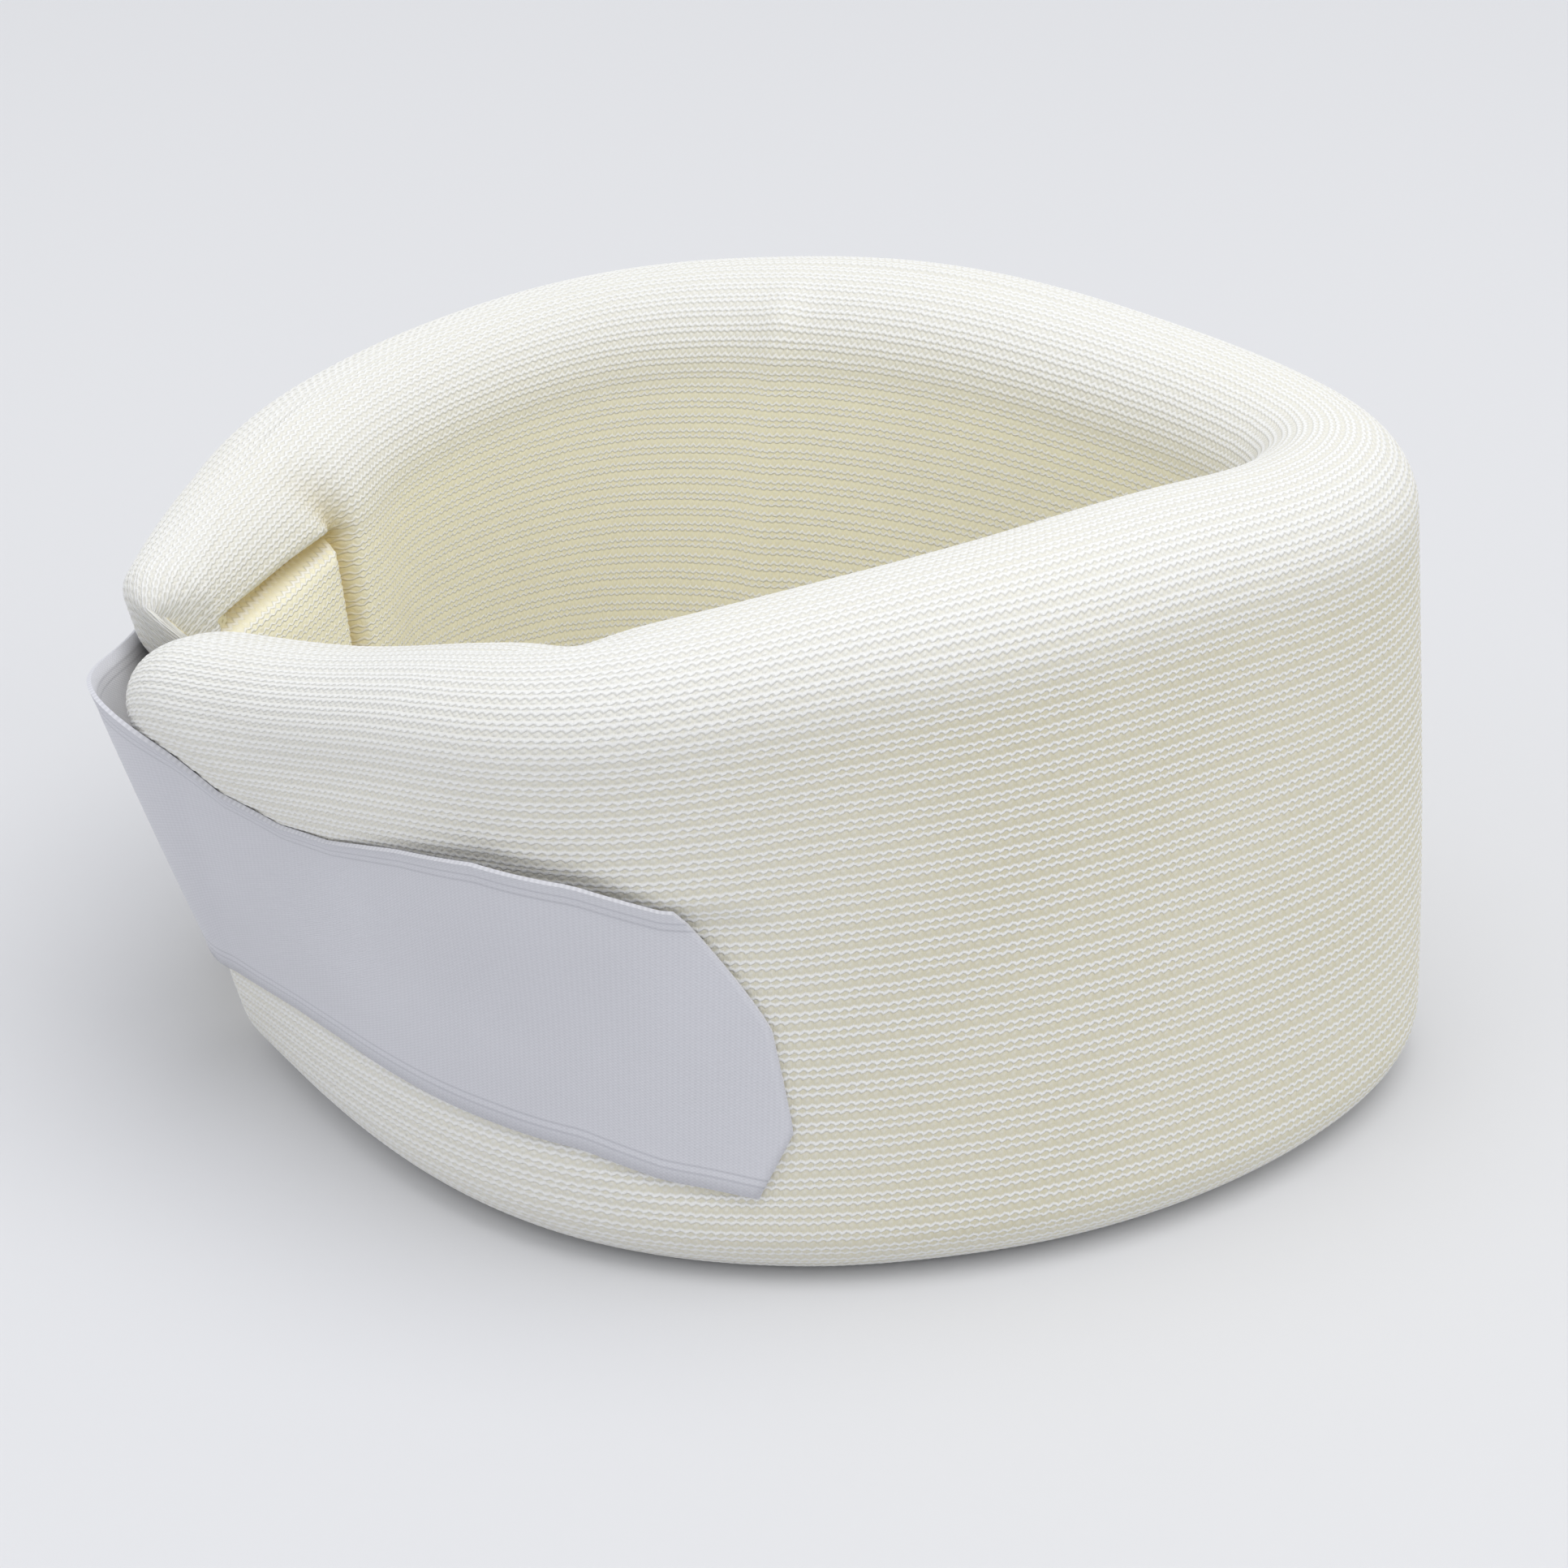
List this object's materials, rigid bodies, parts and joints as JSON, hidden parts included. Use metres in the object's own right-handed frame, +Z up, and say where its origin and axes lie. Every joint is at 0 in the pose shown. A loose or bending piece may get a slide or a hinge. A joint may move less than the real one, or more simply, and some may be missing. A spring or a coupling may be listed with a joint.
{
  "type": "cervical collar",
  "caption": "Soft foam cervical collar in a ribbed knit tube cover, rolled into an almond-shaped ring and closed by a wide hook tape; it opens at the bend.",
  "frame": {"origin": "on the table, under the middle of the ring's footprint", "axes": "+X from the closure towards the bend opposite it, +Y towards the far wall that carries the sewn end of the tape, +Z up"},
  "size_m": [0.1778, 0.145, 0.088],
  "materials": {
    "knit_cover": "ribbed cotton stockinette",
    "foam": "soft open-cell foam, matte",
    "hook_tape": "woven nylon tape",
    "tape_hooks": "moulded nylon hooks",
    "thread": "sewing thread"
  },
  "bodies": {
    "far_half": {"foam_far": "foam", "cover_far": "knit_cover", "far_end_seam": "thread", "strap_anchor": "hook_tape", "strap_stitching": "thread"},
    "near_half": {"foam_near": "foam", "cover_near": "knit_cover", "near_end_seam": "thread"},
    "strap_flap": {"strap_free": "hook_tape", "strap_hooks": "tape_hooks"}
  },
  "joints": [
    {"name": "collar_open", "type": "hinge", "parent": "far_half", "child": "near_half", "pos_m": [0.0894, -0.0125, 0], "axis": [0, 0, 1], "range_deg": [0, 45]},
    {"name": "strap_peel", "type": "hinge", "parent": "far_half", "child": "strap_flap", "pos_m": [-0.0772, 0.0362, 0.034], "axis": [0.1301, -0.0304, -0.991], "range_deg": [0, 144]}
  ],
  "couplings": [
    {"joint": "strap_peel", "follows": "collar_open", "ratio": 3.2}
  ]
}
